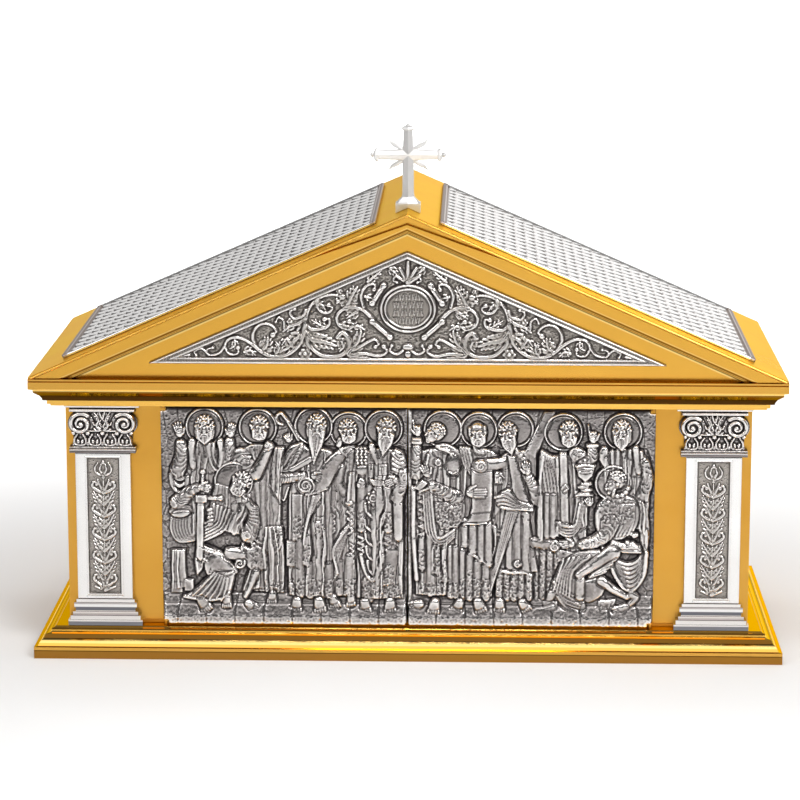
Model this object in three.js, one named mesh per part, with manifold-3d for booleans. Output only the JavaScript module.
// An altar tabernacle: a gilded brass casket shaped like a small temple, with silvered reliefs.
// Millimetres, +Z up, the doors face -Y, and the origin is at the middle of the underside.
import * as THREE from "three";
import { mergeVertices } from "three/addons/utils/BufferGeometryUtils.js";
import Module from "manifold-3d";

const wasm = await Module();
wasm.setup();

// Driving dimensions
const HALF_WIDTH = 360;
const HALF_DEPTH = 150;
const EAVE_Z = 275.5;
const RIDGE_Z = 435.9;
const FIT = 0.3; // gap between pieces that touch
const SHEET = 3; // brass sheet of the walls and the roof

// Mouldings as [inset from the outer edge, height], from the bottom up
const BASE_TOP_Z = 27.4;
const BASE_PROFILE = [
  [0, 0],
  [0, 11.2],
  [3.3, 11.5],
  [4.6, 14.3],
  [6.1, 16.4],
  [8.5, 18],
  [10, 21.5],
  [14, 22],
  [15.4, 23],
  [15.4, 25.6],
  [18, 26.5],
  [19, BASE_TOP_Z],
];
const SOFFIT_Z = 246.1;
const CORNICE_PROFILE = [
  [18.5, SOFFIT_Z],
  [18.5, 247.5],
  [15.6, 248.4],
  [15.6, 251.6],
  [12, 252.6],
  [11.4, 255],
  [9.6, 257.6],
  [6.8, 259.8],
  [4.1, 261.8],
  [4.1, 264.2],
  [0, 265.7],
  [0, 272.6],
  [0.7, 273.1],
  [0, 273.6],
  [0, EAVE_Z],
];

// The casket, a box of flat sheets with one large opening in its front
const CASKET_INSET = 31;
const CASKET_Z = [BASE_TOP_Z + FIT, 262];
const OPENING = { halfWidth: 236.3, bottom: BASE_TOP_Z + FIT + SHEET, top: 244 };

// The roof
const EAVE_LIP = 1.2;
const ROPE = 2.6;
const PEDIMENT_BACK_Y = -136;
const FIELD_Y = -139;
// Raking mouldings as [distance below the roof, depth below the roof, front face]
const RAKING_STEPS = [
  [0, 10.5, -147],
  [0, 12.6, -145.2],
  [0, 15, -142.4],
  [14.9, 16.2, -144],
];
const APEX_GAP = { halfWidth: 92, height: 7.4, back: -140.6 };
const TYMPANUM = { halfWidth: 245.5, base: 290.5, apex: 398.6, ground: -142, border: 6.5 };
const TILES = { inner: 30, outer: 329, halfDepth: 126, rows: 30, frame: 5, height: 4.5 };
const TILE = { top: 1.6, lip: 3.4, joint: 0.4 }; // its thickness at both ends, and the joint below it

// The pilasters
const PILASTER_X = 292.8;
const PLINTH = { halfWidth: 36, front: -130.8 };
const SHAFT = { halfWidth: 26.7, front: -128, bottom: 53.5, top: 198.6 };
const PANEL = { halfWidth: 15.6, bottom: 58.5, top: 194, depth: 2.2 };
const CAPITAL = { bottom: 199, top: SOFFIT_Z - FIT, halfWidth: 36.2, front: -131.2 };

// The cross on the ridge
const CROSS = { y: -108, centreZ: 486, top: 513, armReach: 32.6, width: 11, foot: 11.8 };

// The doors
const LEAF = { thickness: 3.6, bottom: 31.5, top: 243.4, outer: 235.7, inner: 0.4 };
const HINGE = { x: 234.5, y: -123.5, pin: 1.7, socket: 2.4, reach: 5.5, bore: 7 };
// The lug that joins a pin to its leaf, as distances from the hinge axis
const LUG = { inner: 2.4, outer: 1.8, front: 2.2, height: 2.4, room: 0.4 };
const RELIEF = { back: -119.8, ground: -124.6, front: -134, outer: 236.8, bottom: 31.2, top: 243.6 };
const LEDGE = { top: 44.2, front: -133.4, slope: 1.5, short: 1.2 };
const SEAM_ROD = { from: 0.5, to: 4.3, front: -130 };

// Materials
const gilded = { color: 0xe0a63c, roughness: 0.3, metalness: 1 };
const satinGilded = { color: 0xd6a041, roughness: 0.45, metalness: 1 };
const silvered = { color: 0xb9b4b1, roughness: 0.35, metalness: 1 };
const polishedSilver = { color: 0xe6e4e2, roughness: 0.15, metalness: 1 };

// Solids and meshes

const MERGE = 1e-4;
const SIDES = ["left", "right"];
const FLIP = { left: -1, right: 1 };
const OVER = 1; // how far a cutter reaches past what it cuts
const SUNK = 0.5; // how far an ornament reaches into its ground

function solid(geometry) {
  const bare = geometry.index ? geometry.toNonIndexed() : geometry.clone();
  bare.deleteAttribute("normal");
  bare.deleteAttribute("uv");
  const merged = mergeVertices(bare, MERGE);
  const vertProperties = merged.attributes.position.array;
  const triVerts = new Uint32Array(merged.index.array);
  const made = new wasm.Manifold(new wasm.Mesh({ numProp: 3, vertProperties, triVerts }));
  if (made.volume() > 0) return made;
  triVerts.reverse();
  return new wasm.Manifold(new wasm.Mesh({ numProp: 3, vertProperties, triVerts }));
}

function join(bodies) {
  return bodies.reduce((sum, body) => sum.add(body));
}

// The largest shell of a body, which leaves no pocket sealed inside it
function outerShell(body) {
  return body.decompose().reduce((most, shell) => (shell.volume() > most.volume() ? shell : most));
}

function piece(name, body, look) {
  const { vertProperties, triVerts } = body.getMesh();
  const geometry = new THREE.BufferGeometry();
  geometry.setAttribute("position", new THREE.BufferAttribute(vertProperties, 3));
  geometry.setIndex(new THREE.BufferAttribute(triVerts, 1));
  geometry.computeVertexNormals();
  const mesh = new THREE.Mesh(geometry, new THREE.MeshStandardMaterial(look));
  mesh.name = name;
  return mesh;
}

function block([x0, x1], [y0, y1], [z0, z1]) {
  const geometry = new THREE.BoxGeometry(x1 - x0, y1 - y0, z1 - z0);
  return solid(geometry.translate((x0 + x1) / 2, (y0 + y1) / 2, (z0 + z1) / 2));
}

// A block that is the same on the left and on the right
function centred(halfWidth, ySpan, zSpan, x = 0) {
  return block([x - halfWidth, x + halfWidth], ySpan, zSpan);
}

// The span from a to b on the right, or its mirror image on the left
function span(side, a, b) {
  return side === "right" ? [a, b] : [-b, -a];
}

// An outline of [x, z] points, extruded from y0 to y1
function prism(outline, y0, y1) {
  const shape = new THREE.Shape(outline.map(([x, z]) => new THREE.Vector2(x, z)));
  const geometry = new THREE.ExtrudeGeometry(shape, { depth: y1 - y0, bevelEnabled: false });
  return solid(geometry.rotateX(Math.PI / 2).translate(0, y1, 0));
}

// A closed body through rings of points, all with the same count
function loft(rings) {
  const count = rings[0].length;
  const middle = (ring) =>
    ring.reduce((sum, p) => sum.add(p), new THREE.Vector3()).divideScalar(count);
  const points = [...rings.flat(), middle(rings[0]), middle(rings.at(-1))];
  const faces = [];
  for (let i = 0; i < rings.length - 1; i++) {
    for (let j = 0; j < count; j++) {
      const [a, b] = [i * count + j, i * count + ((j + 1) % count)];
      faces.push(a, b, a + count, b, b + count, a + count);
    }
  }
  const last = (rings.length - 1) * count;
  for (let j = 0; j < count; j++) {
    const next = (j + 1) % count;
    faces.push(points.length - 2, next, j, points.length - 1, last + j, last + next);
  }
  const geometry = new THREE.BufferGeometry().setFromPoints(points);
  geometry.setIndex(faces);
  return solid(geometry);
}

// A rectangular body with the same moulding on all four sides
function moulded(profile, halfWidth = HALF_WIDTH, halfDepth = HALF_DEPTH) {
  const ring = ([inset, z]) => {
    const [x, y] = [halfWidth - inset, halfDepth - inset];
    return [
      new THREE.Vector3(-x, -y, z),
      new THREE.Vector3(x, -y, z),
      new THREE.Vector3(x, y, z),
      new THREE.Vector3(-x, y, z),
    ];
  };
  return loft(profile.map(ring));
}

// A rounded bar along points [x, z] at depth y: its radius goes from r0 to r1, and flat squeezes it in y
function limb(points, y, r0, r1, flat = 0.7, sides = 4) {
  const last = points.length - 1;
  const ring = (i) => {
    const [ax, az] = points[Math.max(i - 1, 0)];
    const [bx, bz] = points[Math.min(i + 1, last)];
    const along = Math.hypot(bx - ax, bz - az);
    const radius = r0 + ((r1 - r0) * i) / last;
    return Array.from({ length: sides }, (_, k) => {
      const turn = (2 * Math.PI * (k + 0.5)) / sides;
      const across = radius * Math.cos(turn);
      return new THREE.Vector3(
        points[i][0] + (across * (bz - az)) / along,
        y + radius * flat * Math.sin(turn),
        points[i][1] - (across * (bx - ax)) / along,
      );
    });
  };
  return loft(points.map((_, i) => ring(i)));
}

// A vine that winds into [x, z] from radius r, starting at an angle, with dir 1 anticlockwise
function spiral([x, z], r, start, turns, dir, y, thick, steps = 7) {
  const points = Array.from({ length: steps + 1 }, (_, i) => {
    const t = i / steps;
    const angle = start + dir * turns * 2 * Math.PI * t;
    const reach = r * (1 - 0.78 * t);
    return [x + reach * Math.cos(angle), z + reach * Math.sin(angle)];
  });
  return limb(points, y, thick, thick * 0.6, 0.8, 4);
}

function ball([x, z], y, [rx, ry, rz], across = 6, high = 4) {
  const geometry = new THREE.SphereGeometry(1, across, high).rotateX(Math.PI / 2);
  return solid(geometry.scale(rx, ry, rz).translate(x, y, z));
}

// A pointed leaf, thick in its middle, that starts at [x, z] and leans by angle from straight up
function leaf([x, z], y, length, halfWidth, thick, angle = 0) {
  const geometry = new THREE.OctahedronGeometry(1).scale(halfWidth, thick, length / 2);
  geometry.translate(0, 0, length / 2).rotateY(angle);
  return solid(geometry.translate(x, y, z));
}

// A round disc that faces the front
function disc([x, z], y0, y1, radius, sides = 16, squash = 1) {
  const geometry = new THREE.CylinderGeometry(radius, radius, y1 - y0, sides);
  return solid(geometry.scale(1, 1, squash).translate(x, (y0 + y1) / 2, z));
}

function upright(x, y, radius, z0, z1, sides = 10) {
  const geometry = new THREE.CylinderGeometry(radius, radius, z1 - z0, sides);
  return solid(geometry.rotateX(Math.PI / 2).translate(x, y, (z0 + z1) / 2));
}

// Base, casket and cornice

function hingeSockets(z0, z1) {
  return join(Object.values(FLIP).map((s) => upright(s * HINGE.x, HINGE.y, HINGE.socket, z0, z1)));
}

function makeBase() {
  return moulded(BASE_PROFILE).subtract(hingeSockets(BASE_TOP_Z - HINGE.bore, BASE_TOP_Z + OVER));
}

// The sheets of the casket. The front edge of the floor is the sill of the doorway
function casketSheets() {
  const [x, y] = [HALF_WIDTH - CASKET_INSET, HALF_DEPTH - CASKET_INSET];
  const [z0, z1] = CASKET_Z;
  const front = [-y, SHEET - y];
  const between = [front[1] + FIT, y - SHEET - FIT];
  const walls = [OPENING.bottom + FIT, z1 - SHEET - FIT];
  const sheets = {
    floor: centred(x, [-y, y], [z0, OPENING.bottom]),
    top: centred(x, [-y, y], [z1 - SHEET, z1]),
    back: centred(x, [y - SHEET, y], walls),
    lintel: centred(OPENING.halfWidth - FIT, front, [OPENING.top, walls[1]]),
  };
  for (const side of SIDES) {
    sheets["side_" + side] = block(span(side, x - SHEET, x), between, walls);
    sheets["front_" + side] = block(span(side, OPENING.halfWidth, x), front, walls);
  }
  return sheets;
}

function makeCornice() {
  const [x, y] = [HALF_WIDTH - CASKET_INSET + FIT, HALF_DEPTH - CASKET_INSET + FIT];
  const hole = centred(x, [-y, y], [SOFFIT_Z - OVER, EAVE_Z + OVER]);
  const sockets = hingeSockets(SOFFIT_Z - OVER, SOFFIT_Z + HINGE.bore);
  return moulded(CORNICE_PROFILE).subtract(hole).subtract(sockets);
}

// Roof

const ROOF_BOTTOM_Z = EAVE_Z + FIT;
const ROOF_SLOPE = (RIDGE_Z - ROOF_BOTTOM_Z - EAVE_LIP) / HALF_WIDTH;
const ROOF_ANGLE = Math.atan(ROOF_SLOPE);
const SHEET_RISE = SHEET / Math.cos(ROOF_ANGLE); // the roof sheet, measured straight up

// A triangle under the roof: its apex lies below the ridge by drop, and its foot is at z
function gable(drop, z = ROOF_BOTTOM_Z) {
  const apex = RIDGE_Z - drop;
  const reach = Math.min((apex - z) / ROOF_SLOPE, HALF_WIDTH);
  const eave = apex - ROOF_SLOPE * reach;
  const lip = eave > z ? [[reach, eave]] : [];
  const right = [[reach, z], ...lip];
  return [...right, [0, apex], ...right.map(([x, h]) => [-x, h]).reverse()];
}

// The band between two gables
function chevron(from, to, y0, y1) {
  const inside = prism(gable(to, ROOF_BOTTOM_Z - OVER), y0 - OVER, y1 + OVER);
  return prism(gable(from), y0, y1).subtract(inside);
}

function makeRoofPlate() {
  const y = HALF_DEPTH - ROPE - FIT;
  return chevron(0, SHEET_RISE, -y, y);
}

function makeRope(y0, y1) {
  return chevron(0, ROPE / Math.cos(ROOF_ANGLE), y0, y1);
}

// The sunk triangle where the flatter top of the raking band leaves the roof
function apexGap() {
  const top = RIDGE_Z - SHEET_RISE - FIT;
  const foot = top - ROOF_SLOPE * APEX_GAP.halfWidth;
  const outline = [
    [-APEX_GAP.halfWidth, foot],
    [0, top - APEX_GAP.height],
    [APEX_GAP.halfWidth, foot],
    [0, top + OVER],
  ];
  return prism(outline, -HALF_DEPTH, APEX_GAP.back);
}

function makeFrontPediment() {
  const below = SHEET_RISE + FIT;
  const steps = RAKING_STEPS.map(([from, to, front]) =>
    chevron(below + from, below + to, front, FIELD_Y + SUNK),
  );
  const field = prism(gable(below), FIELD_Y, PEDIMENT_BACK_Y);
  return join([field, ...steps]).subtract(apexGap());
}

function makeBackPediment() {
  const below = SHEET_RISE + FIT;
  const [, band, front] = RAKING_STEPS[0];
  const field = prism(gable(below), -PEDIMENT_BACK_Y, -FIELD_Y);
  return field.add(chevron(below, below + band, -FIELD_Y - SUNK, -front));
}

// One tile panel, laid flat: x runs down the slope from the ridge, and z is its thickness
function makeTilePanel() {
  const [s0, s1] = [TILES.inner, TILES.outer].map((x) => x / Math.cos(ROOF_ANGLE));
  const pitch = (s1 - s0) / TILES.rows;
  const teeth = Array.from({ length: TILES.rows }, (_, i) => [
    [s0 + pitch * i + TILE.joint / 2, TILE.top],
    [s0 + pitch * (i + 1) - TILE.joint / 2, TILE.lip],
  ]).flat();
  const sheet = prism([...teeth, [s1, FIT], [s0, FIT]], -TILES.halfDepth, TILES.halfDepth);
  const outer = block([s0, s1], [-TILES.halfDepth, TILES.halfDepth], [FIT, TILES.height]);
  const inner = block(
    [s0 + TILES.frame, s1 - TILES.frame],
    [TILES.frame - TILES.halfDepth, TILES.halfDepth - TILES.frame],
    [FIT - OVER, TILES.height + OVER],
  );
  return sheet.add(outer.subtract(inner));
}

function placeTiles(side, mesh) {
  const group = new THREE.Group();
  group.position.z = RIDGE_Z;
  group.rotation.z = side === "left" ? Math.PI : 0;
  mesh.rotation.y = ROOF_ANGLE;
  return group.add(mesh);
}

// Tympanum: a bordered triangle with a medallion, four rods and mirrored vine scrolls

const MEDALLION = {
  centre: [0.8, 344.6],
  halfWidth: 26.6,
  squash: 0.88,
  band: 2.8,
  span: [-145.8, -141],
  field: -143.2,
  sides: 18,
};
const ORNAMENT = { y: -142.6, frame: -144.4, vine: 2, rod: 2, leaf: 4, thick: 2.5 };
// The rods that hold the medallion, on the right half
const RODS = [
  [[22, 366], [33, 349]],
  [[33, 332], [16, 317]],
];
const CREST = { at: [0.8, 369], length: 19, leans: [-0.8, 0, 0.8] };
const KNOT = { at: [0.8, 307], size: [7, 3, 4] };
// Vine scrolls of the left half: centre, radius, start angle, turns, direction
const VINES = [
  { at: [-128, 310], r: 16.5, start: 1.2, turns: 1.5, dir: 1 },
  { at: [-75, 338], r: 16, start: -2.2, turns: 1.4, dir: -1 },
  { at: [-57, 315], r: 9.5, start: 2.6, turns: 1.2, dir: 1 },
  { at: [-163, 306], r: 9, start: -0.4, turns: 1.3, dir: -1 },
  { at: [-187, 302.5], r: 6.5, start: 0.4, turns: 1.2, dir: 1 },
];
// Plumes of the left half: foot, length, lean
const PLUMES = [
  { at: [-40, 348], length: 21, lean: 0.5 },
  { at: [-52, 342], length: 17, lean: 0.2 },
  { at: [-98, 322], length: 20, lean: -0.9 },
  { at: [-90, 306], length: 15, lean: 0.5 },
  { at: [-150, 300], length: 14, lean: 0.9 },
  { at: [-204, 297], length: 12, lean: -1.2 },
];

function tympanumTriangle(shrink) {
  const { halfWidth, base, apex } = TYMPANUM;
  const slope = (apex - base) / halfWidth;
  const [z, top] = [base + shrink, apex - shrink * Math.hypot(1, slope)];
  const x = (top - z) / slope;
  return [
    [-x, z],
    [x, z],
    [0, top],
  ];
}

function makeMedallion() {
  const { centre, halfWidth, squash, band, field, sides } = MEDALLION;
  const [front, back] = MEDALLION.span;
  const rim = disc(centre, front, back, halfWidth, sides, squash);
  const hollow = disc(centre, front - OVER, field, halfWidth - band, sides, squash);
  const rods = Object.values(FLIP).flatMap((flip) =>
    RODS.map((rod) =>
      limb(rod.map(([x, z]) => [flip * x, z]), ORNAMENT.y - 0.3, ORNAMENT.rod, ORNAMENT.rod),
    ),
  );
  const crest = CREST.leans.map((lean) =>
    leaf(CREST.at, ORNAMENT.y, CREST.length, ORNAMENT.leaf, ORNAMENT.thick, lean),
  );
  const knot = ball(KNOT.at, ORNAMENT.y, KNOT.size);
  return join([rim.subtract(hollow), ...rods, ...crest, knot]);
}

function makeVine({ at: [x, z], r, start, turns, dir }, flip) {
  const angle = flip < 0 ? start : Math.PI - start;
  return spiral([-flip * x, z], r, angle, turns, -flip * dir, ORNAMENT.y, ORNAMENT.vine);
}

function makePlume({ at: [x, z], length, lean }, flip) {
  return leaf([-flip * x, z], ORNAMENT.y, length, ORNAMENT.leaf, ORNAMENT.thick, -flip * lean);
}

function makeTympanum() {
  const { ground, border } = TYMPANUM;
  const plate = prism(tympanumTriangle(0), ground, FIELD_Y - FIT);
  const frame = prism(tympanumTriangle(0), ORNAMENT.frame, ground + SUNK);
  const opening = prism(tympanumTriangle(border), -HALF_DEPTH, ground + OVER);
  const scrolls = Object.values(FLIP).flatMap((flip) => [
    ...VINES.map((vine) => makeVine(vine, flip)),
    ...PLUMES.map((plume) => makePlume(plume, flip)),
  ]);
  return join([plate, frame.subtract(opening), makeMedallion(), ...scrolls]);
}

// Pilasters

const WALL_Y = CASKET_INSET - HALF_DEPTH - FIT;
// The pilaster base as steps [less half width, z from, z to]
const BASE_STEPS = [
  [0, BASE_TOP_Z + FIT, 33],
  [2, 32.9, 37.4],
  [4.4, 37.3, 41],
  [7, 40.9, 45],
  [5.6, 44.9, 50],
  [7.8, 49.9, SHAFT.bottom - FIT],
];
const STEP_BACK = 0.35; // how far a step goes back for each millimetre it is narrower
// The candelabrum: its stem, its pairs of leaves from the bottom up, and the leaves at both ends
const STEM = { halfWidth: 0.9, front: 1.4, back: 1, bottom: 4, top: 8 };
const PAIRS = { count: 6, from: 24, pitch: 18, lengths: [15, 13], leans: [1, 0.7] };
const SPRIG = { length: 15, halfWidth: 3.4, thick: 2, bud: 18, foot: 17, leans: [-0.9, 0, 0.9] };
const VOLUTE = { x: 20.6, z: 226.6, disc: 10.4, r: 10.2, turns: 1.4, thick: 2.2, steps: 9, sides: 12 };
const ACANTHUS = { pitch: 14.6, row: [-1.5, -0.5, 0.5, 1.5], length: 15, halfWidth: 6.4, thick: 3 };
const HEART = { z: 216, length: 20, halfWidth: 4, thick: 3, leans: [-0.7, 0, 0.7] };

function makePilasterBase(x) {
  return join(
    BASE_STEPS.map(([less, z0, z1]) =>
      centred(PLINTH.halfWidth - less, [PLINTH.front + less * STEP_BACK, WALL_Y], [z0, z1], x),
    ),
  );
}

// A standing stem with pairs of leaves, a bud on top and a palmette at its foot
function candelabrum(x, y) {
  const { bottom, top } = PANEL;
  const { length, halfWidth, thick } = SPRIG;
  const depth = [y - STEM.front, y + STEM.back];
  const stem = centred(STEM.halfWidth, depth, [bottom + STEM.bottom, top - STEM.top], x);
  const pairs = Array.from({ length: PAIRS.count }, (_, i) =>
    Object.values(FLIP).map((flip) => {
      const z = bottom + PAIRS.from + i * PAIRS.pitch;
      return leaf([x, z], y, PAIRS.lengths[i % 2], halfWidth, thick, flip * PAIRS.leans[i % 2]);
    }),
  ).flat();
  const bud = leaf([x, top - SPRIG.bud], y, length, halfWidth + 1, thick);
  const palmette = SPRIG.leans.map((lean) =>
    leaf([x, bottom + SPRIG.foot], y, length, halfWidth, thick, Math.PI + lean),
  );
  return join([stem, ...pairs, bud, ...palmette]);
}

function makePilasterShaft(x) {
  const shaft = centred(SHAFT.halfWidth, [SHAFT.front, WALL_Y], [SHAFT.bottom, SHAFT.top], x);
  const floor = SHAFT.front + PANEL.depth;
  const sunk = centred(PANEL.halfWidth, [SHAFT.front - OVER, floor], [PANEL.bottom, PANEL.top], x);
  return shaft.subtract(sunk).add(candelabrum(x, floor));
}

// The blocks of the capital as [less half width, set back, z from, z to]
const CAPITAL_BLOCKS = [
  [8.5, 3, CAPITAL.bottom + 4, CAPITAL.top - 4],
  [3.4, 0.6, CAPITAL.bottom, CAPITAL.bottom + 5.6],
  [3, 0.8, CAPITAL.top - 7, CAPITAL.top - 2.9],
  [0, 0, CAPITAL.top - 3, CAPITAL.top],
];

function makePilasterCapital(x) {
  const { bottom, halfWidth, front } = CAPITAL;
  const blocks = CAPITAL_BLOCKS.map(([less, setBack, z0, z1]) =>
    centred(halfWidth - less, [front + setBack, WALL_Y], [z0, z1], x),
  );
  const volutes = Object.values(FLIP).flatMap((flip) => {
    const { r, turns, thick, steps, sides } = VOLUTE;
    const eye = [x + flip * VOLUTE.x, VOLUTE.z];
    return [
      spiral(eye, r, Math.PI / 2, turns, flip, front + 1.6, thick, steps),
      disc(eye, front, WALL_Y, VOLUTE.disc, sides),
    ];
  });
  const sprig = (at, { length, halfWidth: half, thick }, lean) =>
    leaf(at, front + 2, length, half, thick, lean);
  const row = ACANTHUS.row.map((i) => sprig([x + i * ACANTHUS.pitch, bottom + 4], ACANTHUS, 0));
  const heart = HEART.leans.map((lean) => sprig([x, HEART.z], HEART, lean));
  return join([...blocks, ...volutes, ...row, ...heart]);
}

// Cross

const BAR = { halfDepth: 4.2, edge: 0.45, cap: 4, lip: 3, flare: 1.9 };
const ARM_HALF_WIDTH = 4.9;
const KNOB = { r: 2.5, out: 0.8 };
// A flame of the upper right quarter, from the middle of the cross
const FLAME = { path: [[3, 3], [8.5, 6.4], [11.5, 11], [15, 14.4], [19.2, 14.6]], r: [3.2, 0.5] };
const FOOT = { z: [439, 443.5], halfWidth: 10.4, halfDepth: 6.5 };
const SADDLE = { top: 440, halfDepth: 8, above: FIT + 0.4 };

// A ridged bar along z with a flared end, seen from the front as a slim panel with a crest
function ridgedBar(z0, z1, halfWidth) {
  const section = (z, grow) => {
    const [w, d] = [halfWidth + grow, BAR.halfDepth + grow];
    const right = [
      [w, -d * BAR.edge],
      [w, d * BAR.edge],
    ];
    const left = right.map(([x, y]) => [-x, -y]);
    return [[0, -d], ...right, [0, d], ...left].map(([x, y]) => new THREE.Vector3(x, y, z));
  };
  const { cap, lip, flare } = BAR;
  return loft([section(z0, 0), section(z1 - cap, 0), section(z1 - lip, flare), section(z1, 0.8)]);
}

function makeCross() {
  const { centreZ: mid, top, armReach, width, foot } = CROSS;
  const flips = Object.values(FLIP);
  const bar = ridgedBar(SADDLE.top, top, width / 2);
  const arms = flips.map((flip) =>
    ridgedBar(0, armReach, ARM_HALF_WIDTH).rotate([0, flip * 90, 0]).translate([0, 0, mid]),
  );
  const tips = [[0, top + KNOB.out], ...flips.map((flip) => [flip * (armReach + KNOB.out), mid])];
  const knobs = tips.map((at) => ball(at, 0, [KNOB.r, KNOB.r, KNOB.r]));
  const flames = flips.flatMap((h) =>
    flips.map((v) => {
      const path = FLAME.path.map(([x, z]) => [h * x, mid + v * z]);
      return limb(path, 0, ...FLAME.r, BAR.edge);
    }),
  );
  const flare = [
    [FOOT.halfWidth, FOOT.z[0]],
    [width / 2, FOOT.z[1]],
    [-width / 2, FOOT.z[1]],
    [-FOOT.halfWidth, FOOT.z[0]],
  ];
  const ridge = RIDGE_Z + SADDLE.above;
  const saddle = [
    [foot, SADDLE.top],
    [-foot, SADDLE.top],
    [-foot, ridge - ROOF_SLOPE * foot],
    [0, ridge],
    [foot, ridge - ROOF_SLOPE * foot],
  ];
  const stand = [
    prism(flare, -FOOT.halfDepth, FOOT.halfDepth),
    prism(saddle, -SADDLE.halfDepth, SADDLE.halfDepth),
  ];
  return join([bar, ...arms, ...knobs, ...flames, ...stand]);
}

// Doors

// The leaf is made for the right side and mirrored for the left
function makeLeaf(side) {
  const wall = CASKET_INSET - HALF_DEPTH;
  const [y0, y1] = [wall - FIT, wall - FIT + LEAF.thickness];
  const plate = block([LEAF.inner, LEAF.outer], [y0, y1], [LEAF.bottom, LEAF.top]);
  const lugX = [HINGE.x - LUG.inner, HINGE.x + LUG.outer];
  const lugY = [HINGE.y - LUG.front, y0 + OVER];
  const lugs = [
    block(lugX, lugY, [LEAF.top - LUG.height, LEAF.top]),
    block(lugX, lugY, [LEAF.bottom, LEAF.bottom + LUG.height]),
  ];
  const pins = [
    upright(HINGE.x, HINGE.y, HINGE.pin, LEAF.top - OVER, SOFFIT_Z + HINGE.reach),
    upright(HINGE.x, HINGE.y, HINGE.pin, BASE_TOP_Z - HINGE.reach, LEAF.bottom + OVER),
  ];
  const made = join([plate, ...lugs, ...pins]);
  return side === "left" ? made.mirror([1, 0, 0]) : made;
}

// Sections of a robe as [height from hem to shoulders, share of its width, share of its depth]
const ROBE_LEVELS = [
  [1, 0.35, 0.35],
  [0.88, 1, 0.9],
  [0.45, 0.92, 1],
  [0, 1, 0.92],
];
const ROBE = { points: 7, flute: 0.16, back: RELIEF.ground + 2 };
const SKULL = { size: [6.2, 4.4, 7.8], chin: 4.2, thick: 3 };
const HALO = { r: 18.2, front: RELIEF.ground - 2.2, sides: 10 };
const ARM = { r: [5.4, 3], flat: 0.6, sunk: 1.8 };
const BARE_FOOT = { y: LEDGE.front + 3, size: [4, 4.2, 3.2] };

// A draped robe: half an oval in plan with flutes, from the shoulders down to the hem
function robe({ x, top, bottom, shoulder, hem, front, lean = 0 }) {
  const { points, flute, back } = ROBE;
  const rings = ROBE_LEVELS.map(([t, wide, deep]) => {
    const z = bottom + (top - bottom) * t;
    const halfWidth = (hem + (shoulder - hem) * t) * wide;
    return Array.from({ length: points }, (_, i) => {
      const turn = (Math.PI * i) / (points - 1);
      const depth = (back - front) * deep * (1 - flute * (i % 2)) * Math.sin(turn);
      return new THREE.Vector3(x + lean * t + halfWidth * Math.cos(turn), back - depth, z);
    });
  });
  return loft(rings);
}

function head([x, z], y, beard) {
  const skull = ball([x, z], y, SKULL.size);
  return skull.add(leaf([x, z - 1], y - 0.6, beard, SKULL.chin, SKULL.thick, Math.PI));
}

// One apostle: halo, head, robe, arms and bare feet
function apostle({ halo, head: at, beard = 15, front, robe: dress, arms = [], feet = [] }) {
  const parts = [head(at, front + 3.2, beard), robe({ front, ...dress })];
  parts.push(disc(halo, HALO.front, RELIEF.ground + OVER, HALO.r, HALO.sides));
  for (const path of arms) parts.push(limb(path, front + ARM.sunk, ...ARM.r, ARM.flat));
  for (const [x, z] of feet) parts.push(ball([x, z], BARE_FOOT.y, BARE_FOOT.size, 4, 3));
  return join(parts);
}

const BACK_ROW = -129.4;
const MIDDLE_ROW = -131.6;
const FRONT_ROW = -133.4;
const STAGGER = 0.13; // each figure stands a little further back than the one on its left

// The company on the left door, from the left
const LEFT_COMPANY = [
  {
    halo: [-195, 225], head: [-196, 226], front: BACK_ROW,
    robe: { x: -197, top: 208, bottom: 120, shoulder: 22, hem: 24 },
    arms: [[[-206, 190], [-217, 196], [-220, 222]], [[-182, 182], [-174, 192], [-169, 224]]],
  },
  {
    halo: [-144, 225], head: [-143, 226], front: BACK_ROW,
    robe: { x: -145, top: 208, bottom: 110, shoulder: 21, hem: 22 },
    arms: [[[-149, 178], [-140, 190], [-133, 206]], [[-124, 192], [-114, 213]]],
  },
  {
    halo: [-167, 172], head: [-161, 171], beard: 14, front: FRONT_ROW,
    robe: { x: -170, top: 158, bottom: 88, shoulder: 24, hem: 30 },
    arms: [[[-146, 138], [-154, 120], [-157, 154]], [[-200, 130], [-214, 140], [-196, 165]]],
    feet: [[-192, 46], [-175, 50], [-146, 47]],
  },
  {
    halo: [-89, 226], head: [-90, 225], beard: 30, front: FRONT_ROW,
    robe: { x: -88, top: 210, bottom: 48, shoulder: 24, hem: 29 },
    arms: [[[-112, 186], [-118, 172], [-92, 179]]],
    feet: [[-108, 46], [-84, 46]],
  },
  {
    halo: [-56, 225], head: [-59, 225], front: MIDDLE_ROW,
    robe: { x: -58, top: 206, bottom: 50, shoulder: 15, hem: 14 },
    arms: [[[-58, 196], [-50, 184], [-43, 186]]],
    feet: [[-70, 49], [-54, 50]],
  },
  {
    halo: [-23, 226], head: [-18, 223], beard: 22, front: FRONT_ROW,
    robe: { x: -26, top: 208, bottom: 48, shoulder: 21, hem: 24 },
    arms: [[[-6, 190], [-8, 172], [-27, 173]]],
    feet: [[-40, 46], [-16, 46]],
  },
];

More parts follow.
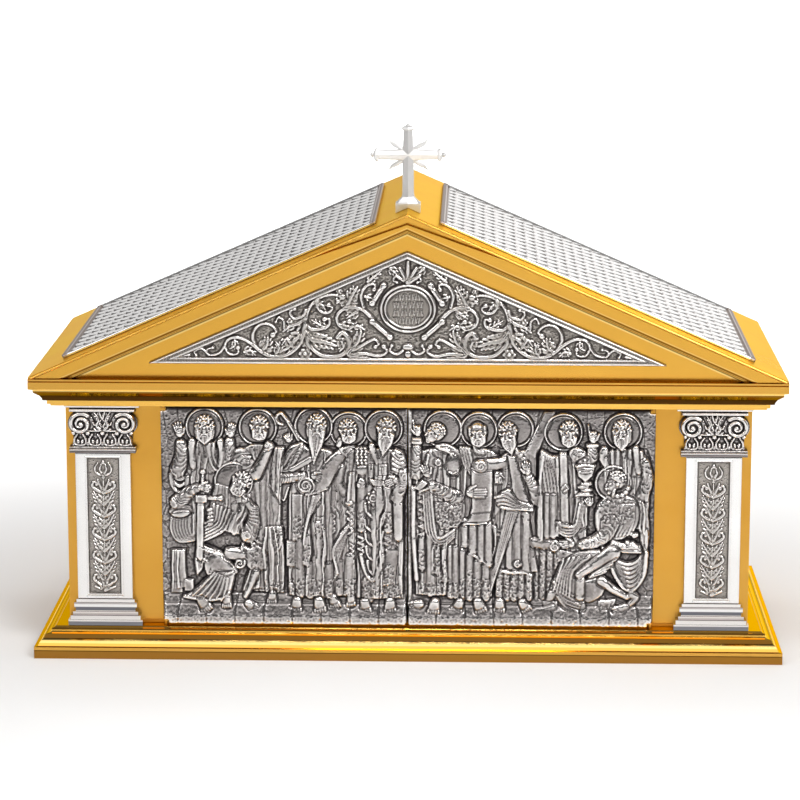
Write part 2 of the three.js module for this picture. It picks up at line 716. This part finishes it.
// The company on the right door, from the left
const RIGHT_COMPANY = [
  {
    halo: [34, 225], head: [25, 222], front: FRONT_ROW,
    robe: { x: 30, top: 208, bottom: 48, shoulder: 23, hem: 24 },
    arms: [[[10, 180], [9, 196], [10, 224]], [[45, 196], [47, 162], [22, 176]]],
    feet: [[8, 46], [26, 47]],
  },
  {
    halo: [69, 224], head: [71, 222], front: FRONT_ROW,
    robe: { x: 66, top: 208, bottom: 48, shoulder: 22, hem: 26 },
    arms: [[[84, 190], [84, 166], [67, 162]]],
    feet: [[50, 47], [72, 46]],
  },
  {
    halo: [103, 225], head: [98, 221], beard: 25, front: MIDDLE_ROW,
    robe: { x: 105, top: 206, bottom: 48, shoulder: 19, hem: 24 },
    arms: [[[124, 176], [113, 188]]],
    feet: [[90, 47], [114, 47]],
  },
  {
    halo: [149, 223], head: [155, 221], front: MIDDLE_ROW,
    robe: { x: 148, top: 206, bottom: 60, shoulder: 24, hem: 20 },
    arms: [[[172, 184], [177, 192], [176, 230]], [[136, 186], [150, 166], [168, 170]]],
  },
  {
    halo: [206, 224], head: [204, 222], front: BACK_ROW,
    robe: { x: 207, top: 206, bottom: 90, shoulder: 23, hem: 20 },
    arms: [[[212, 176], [202, 186], [191, 198]]],
  },
  {
    halo: [197, 173], head: [200, 174], beard: 10, front: FRONT_ROW,
    robe: { x: 200, top: 160, bottom: 92, shoulder: 22, hem: 26 },
    arms: [[[212, 140], [188, 116], [157, 113]]],
    feet: [[140, 48], [126, 52], [218, 52]],
  },
];

// What the left company holds and sits on
function leftAttributes() {
  const y = FRONT_ROW + 1.6;
  return [
    limb([[-121, 236], [-104, 214]], BACK_ROW, 2.4, 2.4), // crook
    limb([[-196, 181], [-199, 153], [-202, 93]], y, 3.2, 2.4, 0.5), // sword
    limb([[-203, 156], [-178, 156]], y, 1.6, 1.6), // its guard
    limb([[-186, 100], [-172, 84], [-180, 54]], y + 1, 15, 13, 0.5), // near leg
    limb([[-160, 98], [-150, 82], [-147, 52]], y + 1, 11, 6, 0.55), // far leg
    disc([-98, 169], y - 1.4, RELIEF.ground, 7.6, 10), // rolled scroll
    limb([[-94, 174], [-54, 205]], y + 1, 7, 6, 0.4), // its sheet
    block([-51, -38], [y + 1, RELIEF.ground + 1], [189, 205]), // staff knob
    block([-33, -16], [y, RELIEF.ground + 1], [178, 190]), // book
    limb([[-40, 118], [-30, 104], [-22, 150]], y - 0.6, 3.4, 2.6), // gathered swag
    block([-232, -208], [-131, RELIEF.ground + 1], [44, 106]), // stone seat
  ];
}

// What the right company holds and sits on
function rightAttributes() {
  const y = FRONT_ROW + 1.6;
  return [
    block([4, 20], [y, RELIEF.ground + 1], [162, 178]), // book
    limb([[66, 190], [95, 190]], y - 0.6, 6.2, 6.2, 0.5), // scroll roll
    block([63, 80], [y - 0.8, RELIEF.ground + 1], [134, 190]), // its sheet
    limb([[135, 242], [77, 56]], MIDDLE_ROW, 4.4, 4.4, 0.5), // beam of a saltire
    limb([[95, 199], [124, 120]], MIDDLE_ROW, 4.2, 4.2, 0.5), // its other beam
    ball([170, 186], y, [9, 3.2, 9]), // cup
    limb([[170, 178], [170, 162]], y, 2.2, 5), // stem and foot of the cup
    limb([[184, 104], [166, 82], [138, 54]], y + 1, 15, 8, 0.5), // near leg
    limb([[200, 92], [190, 70], [214, 54]], y + 1, 15, 8, 0.5), // far leg
    limb([[214, 130], [226, 96], [214, 60]], MIDDLE_ROW, 12, 9, 0.5), // cloak
    limb([[122, 115], [142, 112]], y, 6.4, 6.4, 0.5), // scroll
  ];
}

function makeRelief(side) {
  const { back, ground, front, outer, bottom, top } = RELIEF;
  const inner = SEAM_ROD.from;
  const plate = block(span(side, inner, outer), [ground, back], [bottom, top]);
  const section = [
    [LEDGE.front, bottom],
    [back, bottom],
    [back, LEDGE.top + LEDGE.slope],
    [LEDGE.front + 1, LEDGE.top - LEDGE.slope],
  ];
  const ledge = prism(section, ...span(side, inner, outer - LEDGE.short)).transform(ALONG_X);
  const company = side === "right" ? RIGHT_COMPANY : LEFT_COMPANY;
  const things = side === "right" ? rightAttributes() : leftAttributes();
  const people = company.map((who, i) => apostle({ ...who, front: who.front + i * STAGGER }));
  const bounds = block(span(side, inner, outer), [front, back], [bottom, top]);
  const parts = [plate, ledge, join([...people, ...things]).intersect(bounds)];
  if (side === "right") {
    parts.push(block([inner, SEAM_ROD.to], [SEAM_ROD.front, ground + OVER], [bottom, top]));
  }
  const room = LUG.height + LUG.room;
  const roomX = span(side, HINGE.x - LUG.inner - LUG.room, outer + OVER);
  const notch = (zSpan) => block(roomX, [HINGE.y - LUG.front - LUG.room, back + OVER], zSpan);
  const lugRoom = notch([LEAF.top - room, top + OVER]).add(notch([bottom - OVER, LEAF.bottom + room]));
  return outerShell(join(parts).subtract(lugRoom));
}

// Turns a prism's outline from [x, z] extruded along y into [y, z] extruded along x
const ALONG_X = [0, 1, 0, 0, 1, 0, 0, 0, 0, 0, 1, 0, 0, 0, 0, 1];

// Assembly

const tabernacle = new THREE.Group();
tabernacle.add(
  piece("base_plinth", makeBase(), gilded),
  piece("cornice", makeCornice(), gilded),
  piece("roof_plate", makeRoofPlate(), satinGilded),
  piece("roof_rope_front", makeRope(-HALF_DEPTH, ROPE - HALF_DEPTH), gilded),
  piece("roof_rope_back", makeRope(HALF_DEPTH - ROPE, HALF_DEPTH), gilded),
  piece("front_pediment", makeFrontPediment(), gilded),
  piece("back_pediment", makeBackPediment(), satinGilded),
  piece("tympanum_relief", makeTympanum(), silvered),
);

for (const [name, sheet] of Object.entries(casketSheets())) {
  tabernacle.add(piece("casket_" + name, sheet, satinGilded));
}

const cross = piece("cross", makeCross(), polishedSilver);
cross.position.y = CROSS.y;
tabernacle.add(cross);

for (const side of SIDES) {
  const x = FLIP[side] * PILASTER_X;
  tabernacle.add(
    placeTiles(side, piece("roof_tiles_" + side, makeTilePanel(), silvered)),
    piece("pilaster_base_" + side, makePilasterBase(x), polishedSilver),
    piece("pilaster_shaft_" + side, makePilasterShaft(x), polishedSilver),
    piece("pilaster_capital_" + side, makePilasterCapital(x), silvered),
    piece("door_leaf_" + side, makeLeaf(side), satinGilded),
    piece("door_relief_" + side, makeRelief(side), silvered),
  );
}

export default tabernacle;
